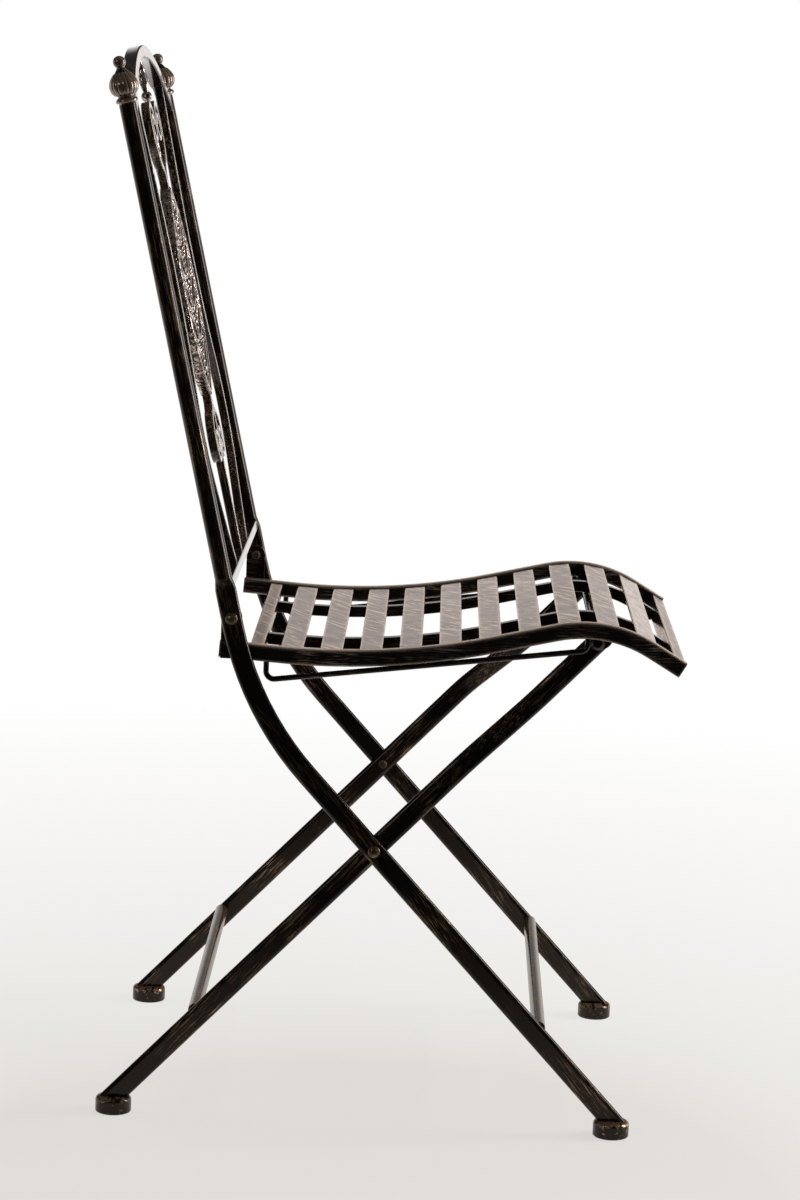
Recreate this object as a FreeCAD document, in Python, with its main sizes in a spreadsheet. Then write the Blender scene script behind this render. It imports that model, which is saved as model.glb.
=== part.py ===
import FreeCAD, Part
import math
import os

import Sketcher
from FreeCAD import Placement, Rotation, Vector

# Folding garden chair of painted iron.
# +X is the front, +Z is up and +Y is the sitter's left, with the floor at Z = 0.
# A side tube on each side is the back post and the front leg in one bent length.
# The seat hinges on the side tubes, and so do the rear legs, which carry the seat on a rod.

SIZES = (
    ("seat_pivot_x", -139.4, "seat hinge, from the middle of the chair"),
    ("seat_pivot_z", 451.0, "seat hinge above the floor"),
    ("leg_pivot_x", -7.4, "crossing of the legs, from the middle of the chair"),
    ("leg_pivot_z", 249.2, "crossing of the legs above the floor"),
    ("front_foot_x", 212.6, "middle of the front feet"),
    ("rear_foot_x", -230.8, "middle of the rear feet"),
    ("back_angle", 13.2, "lean of the back from upright, in degrees"),
    ("post_length", 451.0, "seat hinge to the top of the post"),
    ("side_spacing", 386.0, "between the middles of the side tubes"),
    ("post_diameter", 15.0, "round upper part of the side tube"),
    ("flat_width", 18.5, "flattened tube of the legs, the wide way"),
    ("flat_thickness", 8.0, "flattened tube of the legs, the thin way"),
    ("tube_wall", 1.5, "wall of the tubes"),
    ("bend_radius", 285.0, "bend from the post to the front leg"),
    ("taper_height", 26.0, "start of the round part above the seat hinge"),
    ("taper_length", 10.0, "change from the flattened to the round section"),
    ("rivet_diameter", 6.0, "shank of the hinge rivets"),
    ("rivet_head", 11.0, "outer head of the hinge rivets"),
    ("rivet_head_height", 3.0, "height of the outer rivet heads"),
    ("rivet_tail", 9.0, "closing head of the hinge rivets"),
    ("rivet_tail_height", 2.5, "height of the closing heads"),
    ("hinge_clearance", 0.05, "radial play of a hinge"),
    ("hinge_play", 0.2, "play along a hinge rivet"),
    ("leg_gap", 1.0, "between front and rear legs at their crossing"),
    ("washer_diameter", 16.0, "washer between the crossing legs"),
    ("ear_gap", 0.5, "between the seat's ear and the leg"),
    ("foot_diameter", 32.0, "round foot"),
    ("foot_height", 14.0, "round foot"),
    ("foot_socket", 2.0, "depth of the leg in its foot"),
    ("foot_edge", 3.0, "rounding of the foot's upper edge"),
    ("stretcher_diameter", 12.0, "round bar between two legs"),
    ("stretcher_offset", 5.0, "stretchers from the middle of the legs, upwards"),
    ("front_stretcher_z", 94.3, "front stretcher above the floor"),
    ("rear_stretcher_z", 94.6, "rear stretcher above the floor"),
    ("finial_base", 19.0, "collar at the foot of the finial"),
    ("finial_base_height", 5.5, "collar at the foot of the finial"),
    ("finial_bulb", 25.0, "onion of the finial"),
    ("finial_bulb_height", 22.0, "onion of the finial"),
    ("finial_belly", 10.0, "widest part of the onion above its foot"),
    ("finial_neck", 6.5, "neck between the onion and the ball"),
    ("finial_neck_height", 2.2, "neck between the onion and the ball"),
    ("finial_ball", 11.2, "ball on the finial"),
    ("bar_depth", 8.0, "flat bars of the back, front to rear"),
    ("bar_thickness", 5.0, "flat bars of the back, across the scroll"),
    ("bar_edge", 1.2, "rounding of the flat bars"),
    ("crest_height", 11.0, "crest arch, seen from the front"),
    ("crest_depth", 12.0, "crest arch, front to rear"),
    ("crest_drop", 13.0, "ends of the crest arch below the tops of the posts"),
    ("crest_rise", 56.0, "rise of the crest arch"),
    ("crossbar_height", 8.0, "lower crossbar of the back"),
    ("crossbar_depth", 14.0, "lower crossbar of the back"),
    ("crossbar_up", 29.0, "lower crossbar above the seat hinge, along the post"),
    ("panel_drop", 123.0, "upper point of the cast panel below the top of the crest arch"),
    ("panel_length", 194.0, "cast panel from point to point"),
    ("panel_width", 130.0, "cast panel"),
    ("panel_depth", 6.0, "cast panel, front to rear"),
    ("panel_rim", 9.0, "border of the cast panel"),
    ("panel_stem", 10.0, "upright stem in the cast panel"),
    ("panel_leaf", 17.0, "width of a leaf opening in the cast panel"),
    ("leaf_rise", 24.0, "slant of a leaf opening"),
    ("leaf_pairs", 5, "pairs of leaf openings"),
    ("leaf_lead_share", 0.8, "lower point of the panel to the first leaf, in leaf steps"),
    ("leaf_slack_share", 0.7, "rest of the panel's length beside the leaves, in leaf steps"),
    ("leaf_width_share", 0.36, "greatest width of a leaf opening for its length"),
    ("upper_bow", 19.0, "bow of the upper scrolls"),
    ("upper_heart", 75.5, "upper heart from its point to the middle of its bows"),
    ("lower_bow", 15.0, "bow of the lower scrolls"),
    ("lower_heart", 57.0, "lower heart from its point to the middle of its bows"),
    ("curl_share", 0.68, "radius of a scroll's curl for that of its bow"),
    ("eye_share", 0.45, "radius of a scroll's inner end for that of its bow"),
    ("scroll_lead", 5.0, "start of a scroll inside the panel's point"),
    ("scroll_gap", 1.0, "between a scroll and the stem or bar beside it"),
    ("notch_half_width", 1.0, "half width of the seat between two scrolls"),
    ("lyre_top", 140.0, "lyre bar at the crest, from the middle"),
    ("lyre_waist", 92.0, "lyre bar beside the panel, from the middle"),
    ("lyre_hip", 152.0, "lyre bar below the panel, from the middle"),
    ("lyre_foot", 76.0, "lyre bar at the crossbar, from the middle"),
    ("lyre_hip_up", 112.0, "hip of the lyre bar above the crossbar"),
    ("lyre_waist_up", 253.0, "waist of the lyre bar above the crossbar"),
    ("lyre_hip_bend", 92.0, "bend of the lyre bar at its hip"),
    ("lyre_waist_bend", 240.0, "bend of the lyre bar at its waist"),
    ("spear_stem", 5.0, "stem under the ball of the spear"),
    ("spear_ball", 10.0, "ball of the spear"),
    ("spear_width", 9.0, "blade of the spear"),
    ("spear_length", 30.0, "blade of the spear"),
    ("spear_shoulder", 9.0, "widest part of the blade above the ball"),
    ("seat_drop", 21.9, "rear of the seat below its hinge"),
    ("seat_tail", 10.0, "rail behind the seat hinge"),
    ("seat_dip", 133.3, "corner of the hollow, in front of the hinge"),
    ("seat_dip_drop", 9.4, "corner of the hollow below the rear of the seat"),
    ("seat_crest", 328.9, "corner of the crown, in front of the hinge"),
    ("seat_crest_rise", 37.6, "corner of the crown above the rear of the seat"),
    ("seat_reach", 398.5, "front edge of the seat, in front of the hinge"),
    ("seat_lip_drop", 40.6, "front edge below the corner of the crown"),
    ("dip_radius", 641.0, "hollow of the seat"),
    ("crown_radius", 120.5, "crown of the seat"),
    ("rail_height", 14.5, "side rail of the seat"),
    ("rail_width", 10.0, "side rail of the seat"),
    ("rail_edge", 2.0, "rounding of the side rail"),
    ("bore_edge", 0.5, "rounding inside the rails of the seat"),
    ("rail_clearance", 1.0, "between a side rail and the back post"),
    ("cross_rail_height", 12.0, "front and rear rails of the seat"),
    ("front_rail_width", 12.0, "front rail of the seat"),
    ("rear_rail_width", 12.0, "rear rail of the seat"),
    ("rear_rail_in", 32.2, "rear rail from the rear ends of the side rails"),
    ("slat_count", 10, "slats between the front and rear rails"),
    ("slat_width", 20.0, "seat slat"),
    ("slat_thickness", 3.0, "seat slat"),
    ("slat_edge", 1.0, "rounding of the slats and bars of the seat"),
    ("slat_sink", 1.5, "slats below the top of the side rails"),
    ("bearer_size", 10.0, "bar under the slats"),
    ("bearer_spacing", 176.0, "between the bars under the slats"),
    ("bearer_gap", 0.25, "room between a flat slat and a curved bar"),
    ("ear_width", 18.0, "ear that carries the seat hinge"),
    ("wire_diameter", 5.0, "guide wire under the side rail"),
    ("wire_rear", 31.0, "rear end of the guide wire, in front of the hinge"),
    ("wire_front", 311.0, "front end of the guide wire, in front of the hinge"),
    ("wire_rear_drop", 16.5, "guide wire below the rail at its rear end"),
    ("wire_front_drop", 11.0, "guide wire below the rail at its front end"),
    ("wire_bend", 7.0, "bends of the guide wire"),
    ("wire_weld", 0.8, "guide wire let into the rail's wall"),
    ("rod_diameter", 8.0, "rod between the tops of the rear legs"),
    ("rod_head", 14.0, "head of the rod"),
    ("rod_head_height", 3.0, "head of the rod"),
    ("rod_end", 5.5, "rounded end of the rear leg beyond the rod"),
    ("rod_gap", 0.4, "between the rod and the bars that rest on it"),
    ("guide_clearance", 1.0, "between the rod's heads and the side rails"),
    ("set_start", 114.0, "start of the rear leg's set above the crossing"),
    ("set_length", 75.0, "length of the rear leg's set"),
    ("set_forward", 5.5, "forward set of the rear leg"),
    ("set_radius", 120.0, "bends of the rear leg's set"),
)

SIDES = (("right", -1), ("left", 1))
NODES = []

doc = FreeCAD.newDocument("FoldingGardenChair")
sheet = doc.addObject("Spreadsheet::Sheet", "Sizes")
for row, (alias, value, meaning) in enumerate(SIZES, start=1):
    sheet.set("A%d" % row, meaning)
    sheet.set("B%d" % row, str(value))
    sheet.setAlias("B%d" % row, alias)
doc.recompute()


def size(alias):
    return float(getattr(sheet, alias))


def number(expression):
    return float(sheet.evalExpression(expression.replace("Sizes.", "")))


def node(thing):
    NODES.append(thing)
    return thing


# Planes, and paths of lines and arcs drawn in them

class Plane:
    def __init__(self, origin, across, up):
        self.origin = origin
        self.across = across
        self.up = up
        self.normal = across.cross(up)

    def at(self, point):
        return self.origin + self.across * point[0] + self.up * point[1]

    def frame(self, point=(0.0, 0.0), heading=0.0):
        ahead = self.across * math.cos(heading) + self.up * math.sin(heading)
        left = self.normal.cross(ahead)
        return Placement(self.at(point), Rotation(ahead, left, self.normal, "ZXY"))


def side_plane(y):
    return Plane(Vector(0, y, 0), Vector(1, 0, 0), Vector(0, 0, 1))


def moved(point, heading, distance):
    return (point[0] + distance * math.cos(heading), point[1] + distance * math.sin(heading))


def direction(start, end):
    return math.atan2(end[1] - start[1], end[0] - start[0])


def crossing(point_a, heading_a, point_b, heading_b):
    turn = math.sin(heading_b - heading_a)
    gap_x = point_b[0] - point_a[0]
    gap_y = point_b[1] - point_a[1]
    along = (gap_x * math.sin(heading_b) - gap_y * math.cos(heading_b)) / turn
    return moved(point_a, heading_a, along)


def walk(start, heading, moves):
    """Path from a start point: a move is (length,) or (radius, turn in degrees, left positive)."""
    path = []
    for move in moves:
        if len(move) == 1:
            end = moved(start, heading, move[0])
            path.append((start, end))
        else:
            radius, turn = move
            bend = math.radians(turn)
            side = math.copysign(math.pi / 2, bend)
            centre = moved(start, heading + side, radius)
            middle = moved(centre, heading - side + bend / 2, radius)
            end = moved(centre, heading - side + bend, radius)
            path.append((start, middle, end))
            heading += bend
        start = end
    return path


def rounded(points, radii):
    """Path through corner points, each inner corner rounded with its radius."""
    moves = []
    used = 0.0
    for index, radius in enumerate(radii):
        before, corner, after = points[index:index + 3]
        turn = direction(corner, after) - direction(before, corner)
        turn = math.atan2(math.sin(turn), math.cos(turn))
        tangent = radius * math.tan(abs(turn) / 2)
        moves.append((math.dist(before, corner) - used - tangent,))
        moves.append((radius, math.degrees(turn)))
        used = tangent
    moves.append((math.dist(points[-2], points[-1]) - used,))
    return walk(points[0], direction(points[0], points[1]), moves)


def lowered(points, depth):
    """Corner points of a line of corners, moved to its right by a depth."""
    heads = [direction(a, b) for a, b in zip(points, points[1:])]
    result = [moved(points[0], heads[0] - math.pi / 2, depth)]
    for index in range(1, len(points) - 1):
        before = moved(points[index], heads[index - 1] - math.pi / 2, depth)
        after = moved(points[index], heads[index] - math.pi / 2, depth)
        result.append(crossing(before, heads[index - 1], after, heads[index]))
    result.append(moved(points[-1], heads[-1] - math.pi / 2, depth))
    return result


def edges_of(path):
    edges = []
    for step in path:
        points = [Vector(point[0], point[1], 0) for point in step]
        curve = Part.LineSegment(*points) if len(points) == 2 else Part.Arc(*points)
        edges.append(curve)
    return edges


# Sketches whose sizes follow the sheet

def sketch_on(body, role, name, lift=0.0, spin=0.0):
    plane = next(item for item in body.Origin.OriginFeatures if item.Role == role)
    sketch = body.newObject("Sketcher::SketchObject", name)
    sketch.AttachmentSupport = [(plane, "")]
    sketch.MapMode = "FlatFace"
    sketch.AttachmentOffset = Placement(Vector(0, 0, lift), Rotation(Vector(0, 0, 1), math.degrees(spin)))
    return sketch


def dimension(sketch, expression, *constraint):
    index = sketch.addConstraint(Sketcher.Constraint(*constraint, number(expression)))
    sketch.setExpression("Constraints[%d]" % index, expression)


def loop(sketch, curves):
    first = sketch.GeometryCount
    sketch.addGeometry(curves)
    count = len(curves)
    for index in range(count):
        following = first + (index + 1) % count
        sketch.addConstraint(Sketcher.Constraint("Tangent", first + index, 2, following, 1))
    return first


def round_section(diameter):
    def draw(sketch):
        radius = "(%s) / 2" % diameter
        sketch.addGeometry(Part.Circle(Vector(), Vector(0, 0, 1), number(radius)))
        sketch.addConstraint(Sketcher.Constraint("Coincident", 0, 3, -1, 1))
        dimension(sketch, radius, "Radius", 0)
    return draw


def slot_section(width, thickness, upright=False):
    """Flattened tube: two straight sides and two half-round edges."""
    def draw(sketch):
        radius = number(thickness) / 2
        reach = number(width) / 2 - radius
        along = Vector(0, 1, 0) if upright else Vector(1, 0, 0)
        across = Vector(0, 0, 1).cross(along)
        signs = ((-1, -1), (1, -1), (1, 1), (-1, 1))
        corner = [along * (a * reach) + across * (b * radius) for a, b in signs]
        tip = along * (reach + radius)
        curves = [
            Part.LineSegment(corner[0], corner[1]),
            Part.Arc(corner[1], tip, corner[2]),
            Part.LineSegment(corner[2], corner[3]),
            Part.Arc(corner[3], tip * -1, corner[0]),
        ]
        first = loop(sketch, curves)
        way = "Vertical" if upright else "Horizontal"
        for line in (first, first + 2):
            sketch.addConstraint(Sketcher.Constraint(way, line))
        sketch.addConstraint(Sketcher.Constraint("Symmetric", first + 3, 3, first + 1, 3, -1, 1))
        dimension(sketch, "(%s) / 2" % thickness, "Radius", first + 1)
        apart = "DistanceY" if upright else "DistanceX"
        dimension(sketch, "(%s) - (%s)" % (width, thickness), apart, first + 3, 3, first + 1, 3)
    return draw


def bar_section(width, height, edge):
    """Flat or square bar with rounded edges."""
    def draw(sketch):
        radius = number(edge)
        far_x = number(width) / 2
        far_y = number(height) / 2
        near_x = far_x - radius
        near_y = far_y - radius
        slant = radius * math.sqrt(0.5)
        curves = []
        for turn in range(4):
            spin = Rotation(Vector(0, 0, 1), 90 * turn)
            long, short, out = (near_x, near_y, far_y) if turn % 2 == 0 else (near_y, near_x, far_x)
            start = spin.multVec(Vector(-long, -out, 0))
            end = spin.multVec(Vector(long, -out, 0))
            middle = spin.multVec(Vector(long + slant, -short - slant, 0))
            after = spin.multVec(Vector(long + radius, -short, 0))
            curves += [Part.LineSegment(start, end), Part.Arc(end, middle, after)]
        first = loop(sketch, curves)
        for index, way in enumerate(("Horizontal", "Vertical", "Horizontal", "Vertical")):
            sketch.addConstraint(Sketcher.Constraint(way, first + 2 * index))
        for arc in (3, 5, 7):
            sketch.addConstraint(Sketcher.Constraint("Equal", first + 1, first + arc))
        sketch.addConstraint(Sketcher.Constraint("Symmetric", first + 1, 3, first + 5, 3, -1, 1))
        dimension(sketch, edge, "Radius", first + 1)
        dimension(sketch, "(%s) - 2 * (%s)" % (width, edge), "DistanceX", first, 1, first, 2)
        dimension(sketch, "(%s) - 2 * (%s)" % (height, edge), "DistanceY", first + 2, 1, first + 2, 2)
    return draw


# Ways of making a piece

def new_body(label, frame):
    body = doc.addObject("PartDesign::Body", label)
    body.Placement = frame
    return body


def swept(label, plane, path, section, spin=0.0):
    """A section, turned by a spin, carried along a path of lines and tangent arcs."""
    heading = start_heading(path)
    body = new_body(label, plane.frame(path[0][0], heading))
    add_sweep(body, label, path, heading, section, spin)
    return body


def start_heading(path):
    first = path[0]
    if len(first) == 2:
        return direction(*first)
    chord = direction(first[0], first[2])
    return 2 * direction(first[0], first[1]) - chord


def add_sweep(body, label, path, heading, section, spin=0.0):
    spine = sketch_on(body, "XY_Plane", label + "_path")
    start = path[0][0]
    local = []
    for step in path:
        local.append([
            (math.dist(start, point) * math.cos(direction(start, point) - heading),
             math.dist(start, point) * math.sin(direction(start, point) - heading))
            for point in step
        ])
    spine.addGeometry(edges_of(local))
    profile = sketch_on(body, "YZ_Plane", label + "_section", spin=spin)
    section(profile)
    sweep = body.newObject("PartDesign::AdditivePipe", label + "_sweep")
    sweep.Profile = profile
    sweep.Spine = (spine, ["Edge%d" % (index + 1) for index in range(len(path))])


def padded(label, frame, draw, length, lift=0.0):
    """A drawn outline given a thickness along the frame's own Z."""
    body = new_body(label, frame)
    outline = sketch_on(body, "XY_Plane", label + "_outline", lift)
    draw(outline)
    pad = body.newObject("PartDesign::Pad", label + "_pad")
    pad.Profile = outline
    pad.setExpression("Length", length)
    return body


def turned(label, frame, outline):
    """A lathe piece about the frame's own Z, from (radius, height) points and arcs (middle, end)."""
    body = new_body(label, frame)
    sketch = sketch_on(body, "XZ_Plane", label + "_outline")
    curves = []
    last = outline[0]
    for step in outline[1:] + [outline[0]]:
        points = [last] + ([step] if not isinstance(step[0], tuple) else list(step))
        vectors = [Vector(point[0], point[1], 0) for point in points]
        curves.append(Part.LineSegment(*vectors) if len(vectors) == 2 else Part.Arc(*vectors))
        last = points[-1]
    sketch.addGeometry(curves)
    turn = body.newObject("PartDesign::Revolution", label + "_turn")
    turn.Profile = sketch
    turn.ReferenceAxis = (sketch, ["V_Axis"])
    turn.Angle = 360
    return body


def across_frame(point, tilt, y):
    """Frame at a point of the side view, with its own Z along +Y."""
    ahead = Vector(math.cos(tilt), 0, math.sin(tilt))
    sideways = Vector(0, 1, 0)
    turn = Rotation(ahead, sideways.cross(ahead), sideways, "ZXY")
    return Placement(Vector(point[0], y, point[1]), turn)


def cross_member(label, point, tilt, section, length):
    """A straight bar from side to side."""
    return padded(label, across_frame(point, tilt, -number(length) / 2), section, length)


def pin(label, point, diameter, length):
    """A round bar from side to side."""
    rod = doc.addObject("Part::Cylinder", label)
    rod.setExpression("Radius", "(%s) / 2" % diameter)
    rod.setExpression("Height", length)
    rod.Placement = across_frame(point, 0.0, -number(length) / 2)
    return rod


def carved(label, base, *tools):
    cut = doc.addObject("Part::Cut", label)
    cut.Base = base
    cut.Tool = tools[0] if len(tools) == 1 else joined(label + "_tools", *tools)
    return cut


def joined(label, *pieces):
    union = doc.addObject("Part::MultiFuse", label)
    union.Shapes = list(pieces)
    return union


def grouped(label, *pieces):
    group = doc.addObject("Part::Compound", label)
    group.Links = list(pieces)
    return group


# Lines of the side view

level = 0.0
upright = math.pi / 2
lean = upright + math.radians(size("back_angle"))
half_spacing = size("side_spacing") / 2
seat_pivot = (size("seat_pivot_x"), size("seat_pivot_z"))
leg_pivot = (size("leg_pivot_x"), size("leg_pivot_z"))
front_foot = (size("front_foot_x"), size("foot_height"))
rear_foot = (size("rear_foot_x"), size("foot_height"))
foot_seat = size("foot_height") - size("foot_socket")
front_leg_heading = direction(leg_pivot, front_foot)
rear_leg_heading = direction(rear_foot, leg_pivot)
knee = crossing(seat_pivot, lean, leg_pivot, front_leg_heading)

# Distances from the middle plane, from the outside inwards
flat = "Sizes.flat_thickness"
leg_outer = half_spacing + size("flat_thickness") / 2
leg_inner = half_spacing - size("flat_thickness") / 2
rail_outer = half_spacing - size("post_diameter") / 2 - size("rail_clearance")
rail_middle = rail_outer - size("rail_width") / 2
rail_inner = rail_outer - size("rail_width")
rear_leg_y = leg_inner - size("leg_gap") - size("flat_thickness") / 2
rod_half = rail_inner - size("guide_clearance") - size("rod_head_height")
guide_y = rod_half - size("flat_thickness") / 2

# Top line of the seat, and lines below it
seat_level = seat_pivot[1] - size("seat_drop")
crown_level = seat_level + size("seat_crest_rise")
seat_line = [
    (seat_pivot[0] - size("seat_tail"), seat_level),
    (seat_pivot[0] + size("seat_dip"), seat_level - size("seat_dip_drop")),
    (seat_pivot[0] + size("seat_crest"), crown_level),
    (seat_pivot[0] + size("seat_reach"), crown_level - size("seat_lip_drop")),
]
lip_heading = direction(seat_line[2], seat_line[3])
rear_heading = direction(seat_line[0], seat_line[1])
rear_rail_top = moved(seat_line[0], rear_heading, size("rear_rail_in"))
front_rail_start = moved(seat_line[3], lip_heading, -size("front_rail_width"))
bearer_start = moved(rear_rail_top, rear_heading, size("rear_rail_width") / 2)
bearer_top = size("slat_sink") + size("slat_thickness") + size("bearer_gap")


def seat_path(points, depth):
    """A line of the seat at a depth below its top."""
    return rounded(lowered(points, depth), [size("dip_radius") + depth, size("crown_radius") - depth])


def seat_at(x, depth):
    """Point at a depth below the seat's top line above a place on the floor, and the slope there."""
    wire = Part.Wire([curve.toShape() for curve in edges_of(seat_path(seat_line, 0.0))])
    plumb = Part.makeLine(Vector(x, 0, 0), Vector(x, 2 * crown_level, 0))
    gap, pairs, info = wire.distToShape(plumb)
    top = pairs[0][0]
    spread = size("slat_width") / 10
    ends = []
    for shift in (-spread, spread):
        line = Part.makeLine(Vector(x + shift, 0, 0), Vector(x + shift, 2 * crown_level, 0))
        ends.append(wire.distToShape(line)[1][0][0])
    tilt = math.atan2(ends[1].y - ends[0].y, ends[1].x - ends[0].x)
    return moved((top.x, top.y), tilt - math.pi / 2, depth), tilt


bearer_line = [bearer_start, seat_line[1], seat_line[2], front_rail_start]
rod_depth = bearer_top + size("bearer_size") + size("rod_gap") + size("rod_diameter") / 2
rod_route = Part.Wire([curve.toShape() for curve in edges_of(seat_path(bearer_line, rod_depth))])
leg_near = moved(leg_pivot, rear_leg_heading - upright, size("set_forward"))
leg_far = moved(leg_near, rear_leg_heading, 2 * size("seat_reach"))
leg_ray = Part.makeLine(Vector(leg_near[0], leg_near[1], 0), Vector(leg_far[0], leg_far[1], 0))
rod_meeting = rod_route.distToShape(leg_ray)[1][0][1]
rod_point = (rod_meeting.x, rod_meeting.y)


# Side tubes: back post and front leg in one length

def hinge_hole(label, point):
    hole = "Sizes.rivet_diameter + 2 * Sizes.hinge_clearance"
    return pin(label, point, hole, "Sizes.side_spacing + 4 * Sizes.post_diameter")


seat_hole = hinge_hole("seat_hinge_hole", seat_pivot)
leg_hole = hinge_hole("leg_hinge_hole", leg_pivot)
floor_cut = doc.addObject("Part::Box", "below_the_legs")
floor_cut.Length = 4 * size("seat_reach")
floor_cut.Width = 2 * size("side_spacing")
floor_cut.setExpression("Height", "Sizes.leg_pivot_z")
floor_cut_low = foot_seat - size("leg_pivot_z")
floor_cut.Placement.Base = Vector(-2 * size("seat_reach"), -size("side_spacing"), floor_cut_low)


def side_solid(label, y, inset):
    """Flattened leg, change of section and round post; the inset makes its bore."""
    plane = side_plane(y)
    start = moved(seat_pivot, lean, size("taper_height"))
    end = moved(front_foot, front_leg_heading, size("foot_height") + size("flat_width"))
    path = rounded([start, knee, end], [size("bend_radius")])
    heading = start_heading(path)
    body = new_body(label, plane.frame(start, heading))
    thin = "Sizes.flat_thickness - 2 * %s" % inset
    wide = "Sizes.flat_width - 2 * %s" % inset
    post = "Sizes.post_diameter - 2 * %s" % inset
    add_sweep(body, label, path, heading, slot_section(wide, thin))
    lower = sketch_on(body, "YZ_Plane", label + "_taper_foot")
    slot_section(wide, thin)(lower)
    upper = sketch_on(body, "YZ_Plane", label + "_taper_head", -size("taper_length"))
    round_section(post)(upper)
    taper = body.newObject("PartDesign::AdditiveLoft", label + "_taper")
    taper.Profile = lower
    taper.Sections = [upper]
    top = sketch_on(body, "YZ_Plane", label + "_post_outline", -size("taper_length"))
    round_section(post)(top)
    pad = body.newObject("PartDesign::Pad", label + "_post")
    pad.Profile = top
    pad.Reversed = True
    pad.setExpression("Length", "Sizes.post_length - Sizes.taper_height - Sizes.taper_length")
    return body


side_outer = {}
for side, sign in SIDES:
    name = "side_tube_" + side
    side_outer[side] = side_solid(name + "_outside", sign * half_spacing, "0")
    bore = side_solid(name + "_bore", sign * half_spacing, "Sizes.tube_wall")
    node(carved(name, side_outer[side], bore, seat_hole, leg_hole, floor_cut))


# Rear legs, set inwards and forwards above the crossing so that they fold inside the seat rails

rod_reach = math.dist(leg_near, rod_point)
leg_end = moved(rod_point, rear_leg_heading, size("rod_end"))
rod_bore = "Sizes.rod_diameter + 2 * Sizes.hinge_clearance"
rod_hole = pin("rod_hole", rod_point, rod_bore, "Sizes.side_spacing")
leg_along = Vector(math.cos(rear_leg_heading), 0, math.sin(rear_leg_heading))
leg_forward = Vector(math.sin(rear_leg_heading), 0, -math.cos(rear_leg_heading))
set_inward = rear_leg_y - guide_y
set_distance = math.hypot(set_inward, size("set_forward"))


def rear_leg_solid(label, sign, inset):
    """Flattened tube with its two bends in one tilted plane, its flat sides upright."""
    shift = Vector(0, -sign * set_inward, 0) + leg_forward * size("set_forward")
    origin = Vector(leg_pivot[0], sign * rear_leg_y, leg_pivot[1])
    plane = Plane(origin, leg_along, shift / set_distance)
    below = math.dist(leg_pivot, rear_foot) + size("foot_height") + size("flat_width")
    points = [
        (-below, 0.0),
        (size("set_start"), 0.0),
        (size("set_start") + size("set_length"), set_distance),
        (rod_reach + size("rod_end"), set_distance),
    ]
    path = rounded(points, [size("set_radius")] * 2)
    spin = math.atan2(-leg_forward.dot(plane.up), leg_forward.dot(plane.normal))
    thin = "Sizes.flat_thickness - 2 * %s" % inset
    wide = "Sizes.flat_width - 2 * %s" % inset
    return swept(label, plane, path, slot_section(wide, thin, upright=True), spin)


rear_leg = {}
for side, sign in SIDES:
    name = "rear_leg_" + side
    outside = rear_leg_solid(name + "_outside", sign, "0")
    bore = rear_leg_solid(name + "_bore", sign, "Sizes.tube_wall")
    tube = carved(name + "_tube", outside, bore)
    eye = doc.addObject("Part::Cylinder", name + "_eye")
    eye.setExpression("Radius", "Sizes.flat_width / 2")
    eye.setExpression("Height", flat)
    eye.Placement = across_frame(leg_end, 0.0, sign * guide_y - size("flat_thickness") / 2)
    closed = joined(name + "_closed", tube, eye)
    rear_leg[side] = node(carved(name, closed, leg_hole, rod_hole, floor_cut))


# Feet, each with a socket that takes the end of its leg

def foot(label, x, y, leg):
    radius = size("foot_diameter") / 2
    height = size("foot_height")
    edge = size("foot_edge")
    lower = edge / 2
    slant = math.sqrt(0.5)
    outline = [
        (0.0, 0.0),
        (radius - lower, 0.0),
        ((radius - lower + lower * slant, lower - lower * slant), (radius, lower)),
        (radius, height - edge),
        ((radius - edge + edge * slant, height - edge + edge * slant), (radius - edge, height)),
        (0.0, height),
    ]
    pad = turned(label + "_blank", Placement(Vector(x, y, 0), Rotation()), outline)
    return carved(label, pad, leg)


for side, sign in SIDES:
    front_leg = next(item for item in NODES if item.Label == "side_tube_" + side)
    node(foot("front_foot_" + side, front_foot[0], sign * half_spacing, front_leg))
    node(foot("rear_foot_" + side, rear_foot[0], sign * rear_leg_y, rear_leg[side]))

# Stretchers between the legs, and the rod that carries the seat


def stretcher_spot(heading, height):
    """Point at a height, beside the middle line of a leg."""
    beside = moved(leg_pivot, heading + upright, size("stretcher_offset"))
    return crossing(beside, heading, (0.0, height), level)


front_spot = stretcher_spot(front_leg_heading, size("front_stretcher_z"))
rear_spot = stretcher_spot(rear_leg_heading, size("rear_stretcher_z"))
front_length = "Sizes.side_spacing - Sizes.flat_thickness"
rear_length = "Sizes.side_spacing - 3 * Sizes.flat_thickness - 2 * Sizes.leg_gap"
node(pin("front_stretcher", front_spot, "Sizes.stretcher_diameter", front_length))
node(pin("rear_stretcher", rear_spot, "Sizes.stretcher_diameter", rear_length))

rod_radius = size("rod_diameter") / 2
head_radius = size("rod_head") / 2
head_end = rod_half + size("rod_head_height")
rod_frame = Placement(Vector(rod_point[0], 0, rod_point[1]), Rotation(Vector(0, 0, 1), Vector(0, 1, 0)))
node(turned("guide_rod", rod_frame, [
    (0.0, -head_end),
    (rod_radius, -head_end),
    (head_radius, -rod_half),
    (rod_radius, -rod_half),
    (rod_radius, rod_half),
    (head_radius, rod_half),
    (rod_radius, head_end),
    (0.0, head_end),
]))


# Hinge rivets, and the washers between the crossing legs

def outward_frame(point, y, sign):
    turn = Rotation(Vector(0, 0, 1), Vector(0, sign, 0))
    return Placement(Vector(point[0], sign * y, point[1]), turn)


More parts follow.
